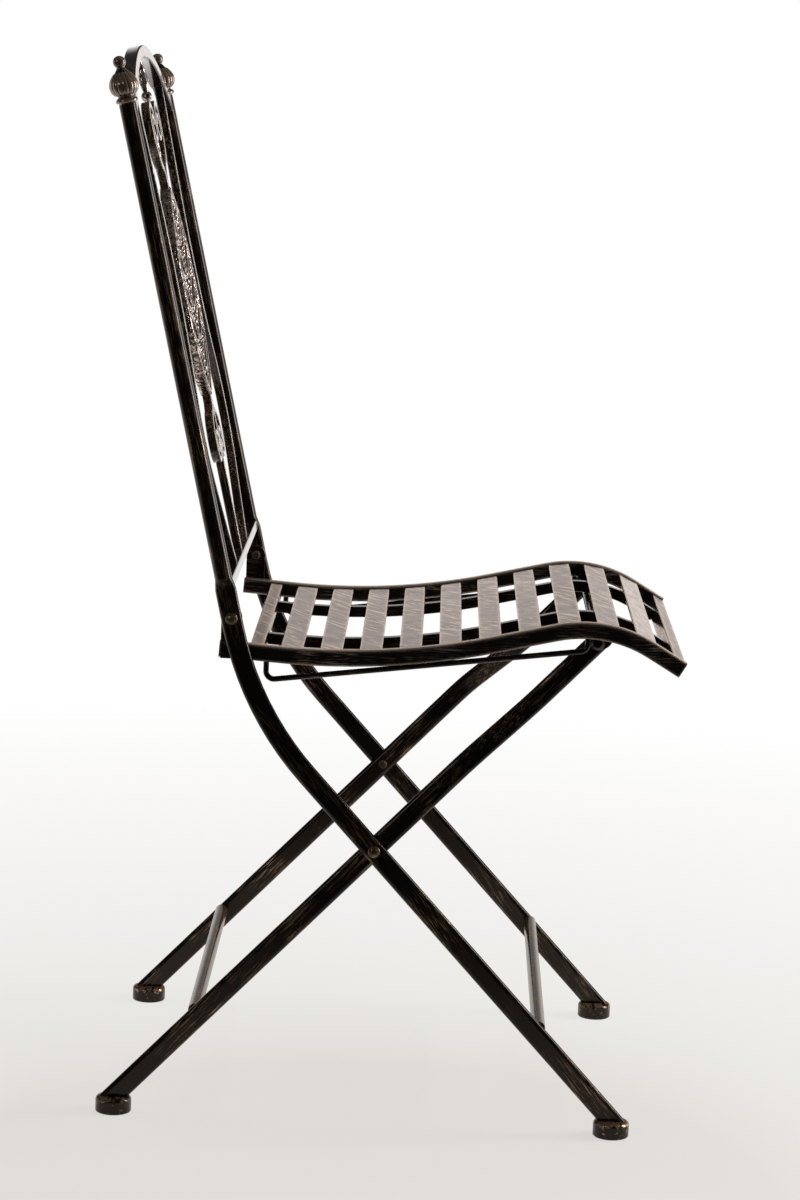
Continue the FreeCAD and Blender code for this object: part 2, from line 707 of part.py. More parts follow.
def rivet(label, point, sign, grip):
    shank = size("rivet_diameter") / 2
    head = size("rivet_head") / 2
    crown = size("rivet_head_height")
    tail = size("rivet_tail") / 2
    end = -grip - size("rivet_tail_height")
    dome = (head ** 2 + crown ** 2) / (2 * crown)
    half_angle = math.asin(head / dome) / 2
    dome_middle = (dome * math.sin(half_angle), crown - dome + dome * math.cos(half_angle))
    return turned(label, outward_frame(point, leg_outer, sign), [
        (0.0, end),
        (shank, end),
        (tail, -grip),
        (shank, -grip),
        (shank, 0.0),
        (head, 0.0),
        (dome_middle, (0.0, crown)),
    ])


def washer(label, sign):
    inner = size("rivet_diameter") / 2 + 2 * size("hinge_clearance")
    outer = size("washer_diameter") / 2
    low = leg_inner - leg_outer - size("leg_gap") + size("hinge_clearance")
    high = leg_inner - leg_outer - size("hinge_clearance")
    ring = [(inner, low), (outer, low), (outer, high), (inner, high)]
    return turned(label, outward_frame(leg_pivot, leg_outer, sign), ring)


seat_grip = leg_outer - rail_outer + size("hinge_play")
leg_grip = leg_outer - rear_leg_y + size("flat_thickness") / 2 + size("hinge_play")
seat_pair = [rivet("seat_rivet_" + side, seat_pivot, sign, seat_grip) for side, sign in SIDES]
leg_pair = [rivet("leg_rivet_" + side, leg_pivot, sign, leg_grip) for side, sign in SIDES]
washer_pair = [washer("leg_washer_" + side, sign) for side, sign in SIDES]
node(grouped("seat_rivets", *seat_pair))
node(grouped("leg_rivets", *leg_pair))
node(grouped("leg_washers", *washer_pair))

# Back, drawn in the leaning plane of the posts: across, and up from the seat hinge

post_up = Vector(math.cos(lean), 0, math.sin(lean))
back = Plane(Vector(seat_pivot[0], 0, seat_pivot[1]), Vector(0, 1, 0), post_up)
flat_bar = bar_section("Sizes.bar_thickness", "Sizes.bar_depth", "Sizes.bar_edge")
crest_end = size("post_length") - size("crest_drop")
crest_top = (0.0, crest_end + size("crest_rise"))
crest_foot = (half_spacing, crest_end)
crest_radius = (half_spacing ** 2 + size("crest_rise") ** 2) / (2 * size("crest_rise"))
crest_sweep = math.degrees(2 * math.asin(half_spacing / crest_radius))
crest_path = walk(crest_foot, math.pi - math.radians(crest_sweep / 2), [(crest_radius, crest_sweep)])
crest_section = bar_section("Sizes.crest_height", "Sizes.crest_depth", "Sizes.bar_edge")
crest_blank = swept("crest_blank", back, crest_path, crest_section)
posts = list(side_outer.values())
crest = node(carved("crest_arch", crest_blank, *posts))

crossbar_spot = moved(seat_pivot, lean, size("crossbar_up"))
crossbar_section = bar_section("Sizes.crossbar_depth", "Sizes.crossbar_height", "Sizes.bar_edge")
crossbar_blank = cross_member(
    "crossbar_blank", crossbar_spot, lean - upright, crossbar_section, "Sizes.side_spacing")
crossbar = node(carved("back_crossbar", crossbar_blank, *posts))
crossbar_top = size("crossbar_up") + size("crossbar_height") / 2


# Cast panel: a pointed oval with pairs of leaf openings beside a stem

panel_top = crest_top[1] - size("panel_drop")
panel_bottom = panel_top - size("panel_length")
panel_middle = panel_bottom + size("panel_length") / 2
panel_half = size("panel_width") / 2
panel_radius = ((size("panel_length") / 2) ** 2 + panel_half ** 2) / (2 * panel_half)


def panel_reach(height):
    """Half width of the pointed oval at a height on the back."""
    return math.sqrt(panel_radius ** 2 - (height - panel_middle) ** 2) - panel_radius + panel_half


def lens(start, end, bulge):
    """Leaf shape: two arcs between two points."""
    heading = direction(start, end)
    half_way = ((start[0] + end[0]) / 2, (start[1] + end[1]) / 2)
    arcs = []
    for side, ends in ((1, (start, end)), (-1, (end, start))):
        middle = moved(half_way, heading + side * upright, bulge)
        arcs.append(Part.Arc(*[Vector(p[0], p[1], 0) for p in (ends[0], middle, ends[1])]))
    return arcs


def draw_panel(sketch):
    points = ((0.0, panel_bottom), (0.0, panel_top))
    sketch.addGeometry(lens(points[0], points[1], panel_half))
    pairs = int(size("leaf_pairs"))
    step = (size("panel_length") - size("leaf_rise")) / (pairs + size("leaf_slack_share"))
    root = size("panel_stem") / 2
    for pair in range(pairs):
        low = panel_bottom + step * (pair + size("leaf_lead_share"))
        high = low + size("leaf_rise")
        tip = panel_reach(high) - size("panel_rim")
        slim = size("leaf_width_share") * math.dist((root, low), (tip, high))
        bulge = min(size("panel_leaf"), slim) / 2
        for sign in (-1, 1):
            sketch.addGeometry(lens((sign * root, low), (sign * tip, high), bulge))


panel_back = -size("panel_depth") / 2
panel = node(padded("back_panel", back.frame(), draw_panel, "Sizes.panel_depth", panel_back))


# Scrolls above and below the panel, each pair forming a heart

scroll_start = size("bar_thickness") / 2
scroll_inside = scroll_start + size("spear_stem") / 2 + size("scroll_gap")


def swing_of(bow, length):
    """Swing of the heart's side, and the sum of the two radii that bend it out and back."""
    across = scroll_inside + 2 * bow - scroll_start
    along = length - bow
    swing = 2 * math.atan2(across, along)
    return swing, along / math.sin(swing)


def notch_of(bow, length):
    """Height above a heart's point where its sides are far enough apart to hold a bar."""
    radii = swing_of(bow, length)[1]
    return math.sqrt(2 * radii / 3 * size("notch_half_width"))


def scroll(label, sign, point, heading, bow, length):
    """One half of a heart: out from its point, round the bow and into a curl beside the middle."""
    spin = sign * math.copysign(1, heading)
    swing, radii = swing_of(bow, length)
    moves = [
        (size("scroll_lead"),),
        (radii / 3, -spin * math.degrees(swing)),
        (2 * radii / 3, spin * math.degrees(swing)),
        (bow, spin * 180),
        (size("curl_share") * bow, spin * 180),
        (size("eye_share") * bow, spin * 180),
    ]
    start = moved((sign * scroll_start, point), heading, -size("scroll_lead"))
    blank = swept(label + "_blank", back, walk(start, heading, moves), flat_bar)
    return node(carved(label, blank, panel))


upper_size = (size("upper_bow"), size("upper_heart"))
lower_size = (size("lower_bow"), size("lower_heart"))
upper = []
lower = []
for side, sign in SIDES:
    upper.append(scroll("upper_scroll_" + side, sign, panel_top, upright, *upper_size))
    lower.append(scroll("lower_scroll_" + side, sign, panel_bottom, -upright, *lower_size))

# Centre bar from the lower heart to the crossbar, and the spear from the upper heart to the crest

bar_high = panel_bottom - notch_of(*lower_size)
bar_low = crossbar_top - size("crossbar_height") / 4
centre_blank = swept("centre_bar_blank", back, [((0.0, bar_low), (0.0, bar_high))], flat_bar)
node(carved("centre_bar", centre_blank, crossbar, *lower))

crest_under = crest_top[1] - size("crest_height") / 2
stem_radius = size("spear_stem") / 2
ball_radius = size("spear_ball") / 2
blade_radius = size("spear_width") / 2
blade_low = crest_under - size("spear_length")
ball_middle = blade_low - ball_radius
blade_high = crest_under + size("crest_height") / 4
stem_low = panel_top + notch_of(*upper_size)
ball_join = math.sqrt(ball_radius ** 2 - stem_radius ** 2)
spear_frame = Placement(back.origin, Rotation(Vector(0, 0, 1), post_up))
spear_blank = turned("spear_blank", spear_frame, [
    (0.0, stem_low),
    (stem_radius, stem_low),
    (stem_radius, ball_middle - ball_join),
    ((ball_radius, ball_middle), (stem_radius, ball_middle + ball_join)),
    (blade_radius, blade_low + size("spear_shoulder")),
    (stem_radius / 2, blade_high),
    (0.0, blade_high),
])
node(carved("spear_ornament", spear_blank, crest, *upper))


# Lyre bars between the crest and the crossbar, on each side of the panel

def lyre_bar(label, sign):
    foot_point = (sign * size("lyre_foot"), crossbar_top - size("crossbar_height") / 4)
    points = [
        foot_point,
        (sign * size("lyre_hip"), crossbar_top + size("lyre_hip_up")),
        (sign * size("lyre_waist"), crossbar_top + size("lyre_waist_up")),
        (sign * size("lyre_top"), crest_height_at(size("lyre_top"))),
    ]
    path = rounded(points, [size("lyre_hip_bend"), size("lyre_waist_bend")])
    blank = swept(label + "_blank", back, path, flat_bar)
    return node(carved(label, blank, crest, crossbar))


def crest_height_at(across):
    return crest_top[1] - crest_radius + math.sqrt(crest_radius ** 2 - across ** 2)


for side, sign in SIDES:
    lyre_bar("lyre_bar_" + side, sign)


# Finials on the posts

def finial(label, y):
    base = size("finial_base") / 2
    base_high = size("finial_base_height")
    bulb = size("finial_bulb") / 2
    neck = size("finial_neck") / 2
    ball = size("finial_ball") / 2
    post = size("post_diameter") / 2
    bulb_low = base_high + size("finial_neck_height") / 2
    bulb_high = bulb_low + size("finial_bulb_height")
    ball_low = bulb_high + size("finial_neck_height")
    ball_middle_up = ball_low + math.sqrt(ball ** 2 - neck ** 2)
    frame = Placement(Vector(seat_pivot[0], y, seat_pivot[1]) + post_up * size("post_length"),
                      Rotation(Vector(0, 0, 1), post_up))
    waist = (post + neck) / 2
    return node(turned(label, frame, [
        (0.0, 0.0),
        (post, 0.0),
        ((base, base_high / 2), (post, base_high)),
        (waist, bulb_low),
        ((bulb, bulb_low + size("finial_belly")), (neck, bulb_high)),
        (neck, ball_low),
        ((ball, ball_middle_up), (0.0, ball_middle_up + ball)),
    ]))


for side, sign in SIDES:
    finial("finial_" + side, sign * half_spacing)

# Seat: side rails, front and rear rails, slats and the bars under them

rail_path = seat_path(seat_line, size("rail_height") / 2)


def tube_sections(width, height, edge):
    """Outside and bore of a rectangular tube."""
    bore_width = width + " - 2 * Sizes.tube_wall"
    bore_height = height + " - 2 * Sizes.tube_wall"
    return bar_section(width, height, edge), bar_section(bore_width, bore_height, "Sizes.bore_edge")


side_rail = tube_sections("Sizes.rail_height", "Sizes.rail_width", "Sizes.rail_edge")
rail_outer_solid = {}
for side, sign in SIDES:
    name = "seat_rail_" + side
    plane = side_plane(sign * rail_middle)
    outside = swept(name + "_outside", plane, rail_path, side_rail[0])
    bore = swept(name + "_bore", plane, rail_path, side_rail[1])
    node(carved(name, outside, bore))
    rail_outer_solid[side] = outside

seat_inside = ("Sizes.side_spacing - Sizes.post_diameter - 2 * Sizes.rail_clearance"
               " - 2 * Sizes.rail_width")
rail_depth = size("slat_sink") + size("cross_rail_height") / 2
front_middle = moved(seat_line[3], lip_heading, -size("front_rail_width") / 2)
front_middle = moved(front_middle, lip_heading - upright, rail_depth)
rear_middle = moved(rear_rail_top, rear_heading - upright, rail_depth)


def cross_rail(label, point, tilt, width):
    outer, inner = tube_sections(width, "Sizes.cross_rail_height", "Sizes.slat_edge")
    outside = cross_member(label + "_outside", point, tilt, outer, seat_inside)
    bore = cross_member(label + "_bore", point, tilt, inner, seat_inside)
    return node(carved(label, outside, bore))


cross_rail("seat_front_rail", front_middle, lip_heading, "Sizes.front_rail_width")
cross_rail("seat_rear_rail", rear_middle, rear_heading, "Sizes.rear_rail_width")

slat_section = bar_section("Sizes.slat_width", "Sizes.slat_thickness", "Sizes.slat_edge")
slat_count = int(size("slat_count"))
slat_room = front_rail_start[0] - bearer_start[0] + size("slat_width")
slat_step = slat_room / (slat_count + 1)
slat_origin = bearer_start[0] - size("slat_width") / 2
for index in range(1, slat_count + 1):
    slat_depth = size("slat_sink") + size("slat_thickness") / 2
    spot, tilt = seat_at(slat_origin + index * slat_step, slat_depth)
    node(cross_member("seat_slat_%02d" % index, spot, tilt, slat_section, seat_inside))

bearer_section = bar_section("Sizes.bearer_size", "Sizes.bearer_size", "Sizes.slat_edge")
bearer_path = seat_path(bearer_line, bearer_top + size("bearer_size") / 2)
for side, sign in SIDES:
    plane = side_plane(sign * size("bearer_spacing") / 2)
    node(swept("seat_bearer_" + side, plane, bearer_path, bearer_section))


# Ears that hang the seat on its hinge rivets

def draw_ear(sketch):
    radius = size("ear_width") / 2
    bottom = seat_level - size("rail_height") - seat_pivot[1]
    sketch.addGeometry([
        Part.LineSegment(Vector(-radius, bottom, 0), Vector(radius, bottom, 0)),
        Part.LineSegment(Vector(radius, bottom, 0), Vector(radius, 0, 0)),
        Part.Arc(Vector(radius, 0, 0), Vector(0, radius, 0), Vector(-radius, 0, 0)),
        Part.LineSegment(Vector(-radius, 0, 0), Vector(-radius, bottom, 0)),
    ])
    hole = "Sizes.rivet_diameter / 2 + Sizes.hinge_clearance"
    circle = sketch.addGeometry(Part.Circle(Vector(), Vector(0, 0, 1), number(hole)))
    sketch.addConstraint(Sketcher.Constraint("Coincident", circle, 3, -1, 1))
    dimension(sketch, hole, "Radius", circle)


ear_outer = leg_inner - size("ear_gap")
ear_thickness = ("(Sizes.post_diameter - Sizes.flat_thickness) / 2"
                 " + Sizes.rail_clearance - Sizes.ear_gap")
for side, sign in SIDES:
    start_y = ear_outer if sign > 0 else -rail_outer
    ear_frame = side_plane(start_y).frame(seat_pivot)
    node(padded("ear_bracket_" + side, ear_frame, draw_ear, ear_thickness))


# Guide wires under the side rails

def guide_wire(side, sign):
    ends = []
    for reach, drop in (("wire_rear", "wire_rear_drop"), ("wire_front", "wire_front_drop")):
        x = seat_pivot[0] + size(reach)
        under = seat_at(x, 0.0)[0][1] - size("rail_height") / math.cos(seat_at(x, 0.0)[1])
        ends.append(((x, under + size("wire_weld")), (x, under - size(drop))))
    points = [ends[0][0], ends[0][1], ends[1][1], ends[1][0]]
    path = rounded(points, [size("wire_bend")] * 2)
    name = "guide_wire_" + side
    plane = side_plane(sign * rail_middle)
    wire = swept(name + "_blank", plane, path, round_section("Sizes.wire_diameter"))
    return node(carved(name, wire, rail_outer_solid[side]))


for side, sign in SIDES:
    guide_wire(side, sign)


# Check every piece, then write it

doc.recompute()
for thing in doc.Objects:
    state = [word for word in thing.State if word in ("Invalid", "Error")]
    if state:
        raise RuntimeError("%s failed: %s" % (thing.Label, state))
for piece in NODES:
    shape = piece.Shape
    if shape.isNull() or not shape.isValid() or not shape.Solids:
        raise RuntimeError("%s has no sound solid" % piece.Label)

os.makedirs("parts", exist_ok=True)
for piece in NODES:
    piece.Shape.exportStep("parts/%s.step" % piece.Label)
    count = len(piece.Shape.Solids)
    print("%s: %d solids, %.0f cubic millimetres" % (piece.Label, count, piece.Shape.Volume))
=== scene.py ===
# %% [markdown]
# # A folding garden chair in rubbed black and bronze
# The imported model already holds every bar, tube and slat of the chair in its place.
# It is loaded first and never moved. The cells after it add what the plain solids lack:
# ribs on the finials, relief on the cast panel, and black paint that is wiped and worn to bronze.

# %% Load the chair
import math

import bmesh
import bpy
from mathutils import Matrix, Vector


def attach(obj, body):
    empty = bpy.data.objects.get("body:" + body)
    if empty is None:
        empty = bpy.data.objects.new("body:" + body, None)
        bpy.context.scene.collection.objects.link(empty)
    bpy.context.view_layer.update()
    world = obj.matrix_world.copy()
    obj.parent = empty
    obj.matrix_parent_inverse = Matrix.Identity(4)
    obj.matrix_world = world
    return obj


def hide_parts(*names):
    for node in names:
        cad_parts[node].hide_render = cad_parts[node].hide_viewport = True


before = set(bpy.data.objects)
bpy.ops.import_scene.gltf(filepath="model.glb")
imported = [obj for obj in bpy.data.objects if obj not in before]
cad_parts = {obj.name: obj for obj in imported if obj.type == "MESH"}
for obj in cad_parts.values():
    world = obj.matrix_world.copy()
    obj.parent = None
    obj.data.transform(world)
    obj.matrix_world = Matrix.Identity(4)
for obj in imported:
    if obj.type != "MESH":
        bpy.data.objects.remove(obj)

scene = bpy.context.scene
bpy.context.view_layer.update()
print("pieces in the frame:", len(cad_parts))

# %% [markdown]
# ## Camera
# The chair is seen square from its right side, from the height of its finials and about three metres away.
# A camera could be aimed with a Track To constraint, but a rolled camera needs its own turn,
# so the aim is written as three turns in a row: left or right, down, and then the roll of the picture.

# %% Camera
EYE = (0.03425, -3.2008, 0.9581)
SIDEWAYS, DOWNWARD, ROLL = 0.0093, 0.1598, 0.0413

camera = bpy.data.cameras.new("side_camera")
camera.sensor_width = 36.0
camera.lens = 105.35
viewer = bpy.data.objects.new("side_camera", camera)
scene.collection.objects.link(viewer)
aim = Matrix.Rotation(SIDEWAYS, 4, "Z") @ Matrix.Rotation(math.pi / 2 - DOWNWARD, 4, "X")
viewer.matrix_world = Matrix.Translation(EYE) @ aim @ Matrix.Rotation(ROLL, 4, "Z")
scene.camera = viewer
scene.view_settings.view_transform = "Standard"
print("camera looks along", [round(v, 3) for v in viewer.matrix_world.col[2].xyz * -1])

# %% [markdown]
# ## Helpers for node trees
# Each finish below is a small tree of nodes. Adding a node, setting its options and plugging in its inputs
# takes several lines in the plain API, so one helper does the three together.
# A value that is a socket is linked, and anything else is written on the input itself.
# Four more helpers stand for the nodes that are used most.

# %% Node helpers
def add(tree, kind, inputs=None, **options):
    step = tree.nodes.new("ShaderNode" + kind)
    for option, value in options.items():
        setattr(step, option, value)
    for name, value in (inputs or {}).items():
        if isinstance(value, bpy.types.NodeSocket):
            tree.links.new(value, step.inputs[name])
        else:
            step.inputs[name].default_value = value
    return step


def stretch(tree, value, low, high, start=0.0, end=1.0):
    """Lays the stretch of a value from low to high over start to end, and holds it there outside."""
    span = {"Value": value, "From Min": low, "From Max": high, "To Min": start, "To Max": end}
    return add(tree, "MapRange", span).outputs["Result"]


def times(tree, first, second):
    return add(tree, "Math", {0: first, 1: second}, operation="MULTIPLY").outputs[0]


def larger(tree, first, second):
    return add(tree, "Math", {0: first, 1: second}, operation="MAXIMUM").outputs[0]


def tint(tree, share, first, second):
    """Goes from the first colour to the second as the share goes from 0 to 1."""
    return add(tree, "Mix", {0: share, 6: first, 7: second}, data_type="RGBA").outputs[2]


# %% [markdown]
# ## Studio light
# The chair stands in a white studio: a bright wall behind it, a dim room on the camera's side and overhead.
# That is why the sides that face us are nearly black while every face that looks along the wall is pale.
# The world could be a plain white, but then black paint would turn grey from the front,
# so its light follows the direction, and only the camera itself sees plain white all round.

# %% World
WHITE = (1.0, 1.0, 1.0, 1.0)
DIM_ROOM = (0.035, 0.033, 0.031, 1.0)
BRIGHT_WALL = (1.05, 1.02, 1.0, 1.0)
ROOM_TO_WALL = (-0.25, 0.25)
TOP_OF_THE_WALL = (0.32, 0.10)

world = bpy.data.worlds.new("white_studio")
world.use_nodes = True
scene.world = world
studio = world.node_tree
studio.nodes.clear()
direction = add(studio, "SeparateXYZ", {"Vector": add(studio, "TexCoord").outputs["Generated"]})
toward_wall = stretch(studio, direction.outputs["Y"], *ROOM_TO_WALL)
below_the_top = stretch(studio, direction.outputs["Z"], *TOP_OF_THE_WALL)
room = tint(studio, times(studio, toward_wall, below_the_top), DIM_ROOM, BRIGHT_WALL)
room_light = add(studio, "Background", {"Color": room, "Strength": 1.0})
white_wall = add(studio, "Background", {"Color": WHITE, "Strength": 1.0})
camera_ray = add(studio, "LightPath").outputs["Is Camera Ray"]
backdrop = add(studio, "MixShader", {0: camera_ray, 1: room_light.outputs[0], 2: white_wall.outputs[0]})
add(studio, "OutputWorld", {"Surface": backdrop.outputs[0]})
print("world nodes:", len(studio.nodes))

# %% [markdown]
# Three soft boxes help the wall. One hangs overhead and lights the floor; no glossy face mirrors it,
# so it adds no highlights. A tall one stands in front of the chair and draws the thin bright line
# along every post and bar. A small one, left of the camera, brings out the castings and the finials.
# Big area lamps give faint, wide shadows, where a point lamp would draw the legs on the floor.

# %% Soft boxes
def soft_box(name, place, target, width, height, watts, mirrored=True):
    light = bpy.data.lights.new(name, "AREA")
    light.shape = "RECTANGLE"
    light.size = width
    light.size_y = height
    light.energy = watts
    lamp = bpy.data.objects.new(name, light)
    scene.collection.objects.link(lamp)
    lamp.location = place
    lamp.rotation_euler = (Vector(target) - Vector(place)).to_track_quat("-Z", "Y").to_euler()
    lamp.visible_glossy = mirrored
    print(name, "stands", round(Vector(place).length, 2), "m from the chair")


soft_box("overhead_box", (0.0, 0.5, 2.8), (0.0, 0.2, 0.0), 1.6, 1.6, 20.0, mirrored=False)
soft_box("front_box", (2.3, 0.3, 1.1), (0.0, 0.0, 0.6), 0.6, 2.0, 40.0)
soft_box("small_box", (-2.0, -2.2, 1.7), (0.0, 0.0, 0.7), 0.8, 0.8, 6.0)

# %% [markdown]
# ## Floor
# The floor is a pale paper sweep. Near the chair it is partly a matt surface that takes the shadows;
# with distance it turns into the white of the wall, with no horizon line.
# A real sweep is a curved sheet, but on a flat disc a glow that grows with distance hides the edge as well.
# Light Path shows the glow to the camera and, on the wall's side, to the mirror in the paint.
# For all other light the paper is matt, and on the camera's side its colour is darkened: a painted shade that
# the paint mirrors as a dark floor.

# %% Floor paper
GREY_PAINTED_GLOW = (0.88, 0.85, 0.815, 1.0)
LIT_PAPER = (0.86, 0.835, 0.795, 1.0)
PAINTED_SHADE_PAPER = (0.10, 0.095, 0.09, 1.0)
DIM_SIDE = (-0.9, -0.1)
FADE_SHIFT = (0.0, 0.35, 0.0)
FADE_REACH, FADE_CURVE = (0.35, 2.1), 0.6
LEAST_GLOW = 0.75

paper = bpy.data.materials.new("pale_paper")
paper.use_nodes = True
tree = paper.node_tree
tree.nodes.clear()
place = add(tree, "TexCoord").outputs["Object"]
spot = add(tree, "Mapping", {"Vector": place, "Location": FADE_SHIFT}).outputs[0]
away = add(tree, "VectorMath", {0: spot}, operation="LENGTH").outputs["Value"]
distance = stretch(tree, away, *FADE_REACH)
fade = add(tree, "Math", {0: distance, 1: FADE_CURVE}, operation="POWER").outputs[0]
glow = stretch(tree, fade, 0.0, 1.0, LEAST_GLOW, 1.0)
path = add(tree, "LightPath").outputs
behind = stretch(tree, add(tree, "SeparateXYZ", {"Vector": place}).outputs["Y"], *DIM_SIDE)
mirrored = larger(tree, path["Is Glossy Ray"], path["Is Transmission Ray"])
seen = larger(tree, path["Is Camera Ray"], times(tree, mirrored, behind))
# On the camera's side every ray but the camera's sees a darker paper colour: painted shade.
lit = larger(tree, path["Is Camera Ray"], behind)
matt = add(tree, "BsdfDiffuse", {"Color": tint(tree, lit, PAINTED_SHADE_PAPER, LIT_PAPER)})
# The floor's glow is painted light: grey near the chair, white with distance.
white = add(tree, "Emission", {"Color": tint(tree, fade, GREY_PAINTED_GLOW, WHITE), "Strength": 1.0})
sweep = add(tree, "MixShader", {0: times(tree, glow, seen), 1: matt.outputs[0], 2: white.outputs[0]})
add(tree, "OutputMaterial", {"Surface": sweep.outputs[0]})
print("paper nodes:", len(tree.nodes))

# %% [markdown]
# The disc is one round face. A plane would do too, but a disc ends at the same distance on every side.

# %% Floor disc
FLOOR_RADIUS = 2.4


def mesh_piece(bm, name):
    """Turns a finished bmesh into an object of the scene, with its place in the mesh."""
    mesh = bpy.data.meshes.new(name)
    bm.to_mesh(mesh)
    bm.free()
    piece = bpy.data.objects.new(name, mesh)
    scene.collection.objects.link(piece)
    return piece


bm = bmesh.new()
bmesh.ops.create_circle(bm, cap_ends=True, segments=96, radius=FLOOR_RADIUS)
floor = mesh_piece(bm, "paper_floor")
floor.data.materials.append(paper)
print("floor radius:", round(floor.dimensions.x / 2, 2), "m")

# %% [markdown]
# ## Rubbed paint
# The iron is painted black and then wiped with bronze along each bar. The cloth leaves thin brown strokes,
# cloudy patches where it pressed harder, and bare bronze on the edges.
# Strokes could be painted by hand, but noise that is stretched along the bar gives them everywhere at once.
# A Mapping node of the Texture kind turns the space first and scales it after,
# so a stroke can lie along any bar. The edges come from a Bevel node:
# where its rounded normal leaves the surface's own, there is an edge nearby.

# %% Strokes, patches and edges
EDGE_BAND = (0.992, 0.90)


def along(direction):
    """The turn that lays strokes along a direction."""
    return Vector((1.0, 0.0, 0.0)).rotation_difference(Vector(direction)).to_euler()


def strokes(tree, turn, length=0.022, width=0.0012):
    place = add(tree, "TexCoord").outputs["Object"]
    scale = (length, width, width)
    laid = add(tree, "Mapping", {"Vector": place, "Rotation": turn, "Scale": scale}, vector_type="TEXTURE")
    noise = {"Vector": laid.outputs[0], "Scale": 1.0, "Detail": 4.0, "Roughness": 0.6, "Distortion": 0.5}
    return add(tree, "TexNoise", noise).outputs[0]


def patches(tree, per_metre):
    place = add(tree, "TexCoord").outputs["Object"]
    noise = {"Vector": place, "Scale": per_metre, "Detail": 3.0, "Roughness": 0.55}
    return add(tree, "TexNoise", noise).outputs[0]


def rounded(tree, radius):
    return add(tree, "Bevel", {"Radius": radius}, samples=4).outputs[0]


def edges(tree, radius):
    normals = {0: rounded(tree, radius), 1: add(tree, "NewGeometry").outputs["Normal"]}
    alike = add(tree, "VectorMath", normals, operation="DOT_PRODUCT").outputs["Value"]
    return stretch(tree, alike, *EDGE_BAND)


# %% [markdown]
# One share, from 0 to 1, says how much bronze covers the paint, and it is built up in layers.
# Every piece has a thin haze, strokes and worn edges. Some have more: on the faces that look up, where it is
# partly wear and partly a painted highlight, on the narrow sides of the slats, or on raised ribs, which
# Pointiness finds.
# Each layer could be blended over the last, but the largest is enough: bronze on bronze is still bronze.
# Up and down are read from the piece's own normals, so the wear and the painted highlight on the tops stay with
# the piece when the chair folds.

# %% How much bronze
PRESSED_SPOTS, CHIPPED_SPOTS = 16.0, 70.0
STROKE = (0.52, 0.64)
SOFT_STROKE = (0.35, 0.60, 0.7, 1.0)
LOOKS_UP = (0.3, 0.8)
STANDS_UPRIGHT = (0.95, 0.60)
STANDS_OUT = (0.50, 0.56)


def bronze_share(tree, stroke, haze=0.008, rub=0.6, press=(0.46, 0.62), edge=0.0012,
                 chips=(0.40, 0.60), worn=0.9, top=0.0, flank=0.0, ridge=0.0):
    pressed = stretch(tree, patches(tree, PRESSED_SPOTS), *press)
    streak = times(tree, stretch(tree, stroke, *STROKE), pressed)
    bronze = stretch(tree, streak, 0.0, 1.0, haze, rub)
    chipped = stretch(tree, patches(tree, CHIPPED_SPOTS), *chips)
    bronze = larger(tree, bronze, times(tree, times(tree, edges(tree, edge), chipped), worn))
    upward = add(tree, "SeparateXYZ", {"Vector": add(tree, "TexCoord").outputs["Normal"]}).outputs["Z"]
    if top:
        # Upward faces get more bronze: partly wear, partly a painted highlight along the tops.
        lit_and_worn_top = stretch(tree, upward, *LOOKS_UP, 0.0, top)
        bronze = larger(tree, bronze, times(tree, lit_and_worn_top, stretch(tree, stroke, *SOFT_STROKE)))
    if flank:
        level = add(tree, "Math", {0: upward}, operation="ABSOLUTE").outputs[0]
        bronze = larger(tree, bronze, stretch(tree, level, *STANDS_UPRIGHT, 0.0, flank))
    if ridge:
        raised = add(tree, "NewGeometry").outputs["Pointiness"]
        bronze = larger(tree, bronze, stretch(tree, raised, *STANDS_OUT, 0.0, ridge))
    return bronze


# %% [markdown]
# The paint itself is a function, because it lies on tubes, rails, bars and castings alike
# and only the wipe and the strength of the rubbing change.
# Bronze powder is a metal: dark where it mirrors the dim room, pale where it mirrors the wall.
# Colour, metal, roughness and the tint at a glancing angle, which is Specular Tint, all follow the share.
# The back and the seat are seen almost edge on, so there that tint and the roughness decide the tone.
# Clear lacquer on the back and its ornament is the shader's coat.

# %% Rubbed black
BLACK = (0.0030, 0.0023, 0.0018, 1.0)
BRONZE = (0.56, 0.37, 0.23, 1.0)
GLANCE = (0.62, 0.52, 0.45, 1.0)
PALE = (1.0, 0.90, 0.82, 1.0)
CLOUDY_SPOTS, CLOUDY = 45.0, (0.35, 0.65)
EDGE_ROUNDING = 0.0006
LACQUERED = {"lacquer": 1.0, "gloss": 0.06}


def rubbed_black(name, wipe, ground=BLACK, wiped=BRONZE, glance=GLANCE, metal=(0.0, 1.0),
                 rough=(0.16, 0.36), cloud=0.0, lacquer=0.0, gloss=0.12, **wear):
    """Black paint with bronze strokes, laid in the tree by wipe. metal and rough go from paint to bronze."""
    paint = bpy.data.materials.new(name)
    paint.use_nodes = True
    tree = paint.node_tree
    shader = tree.nodes["Principled BSDF"]
    bronze = bronze_share(tree, wipe(tree), **wear)
    dull = stretch(tree, bronze, 0.0, 1.0, *rough)
    if cloud:
        clouds = stretch(tree, patches(tree, CLOUDY_SPOTS), *CLOUDY, -cloud, cloud)
        dull = add(tree, "Math", {0: dull, 1: clouds}).outputs[0]
    tree.links.new(tint(tree, bronze, ground, wiped), shader.inputs["Base Color"])
    tree.links.new(stretch(tree, bronze, 0.0, 1.0, *metal), shader.inputs["Metallic"])
    tree.links.new(tint(tree, bronze, glance, PALE), shader.inputs["Specular Tint"])
    tree.links.new(dull, shader.inputs["Roughness"])
    tree.links.new(rounded(tree, EDGE_ROUNDING), shader.inputs["Normal"])
    shader.inputs["Coat Weight"].default_value = lacquer
    shader.inputs["Coat Roughness"].default_value = gloss
    return paint


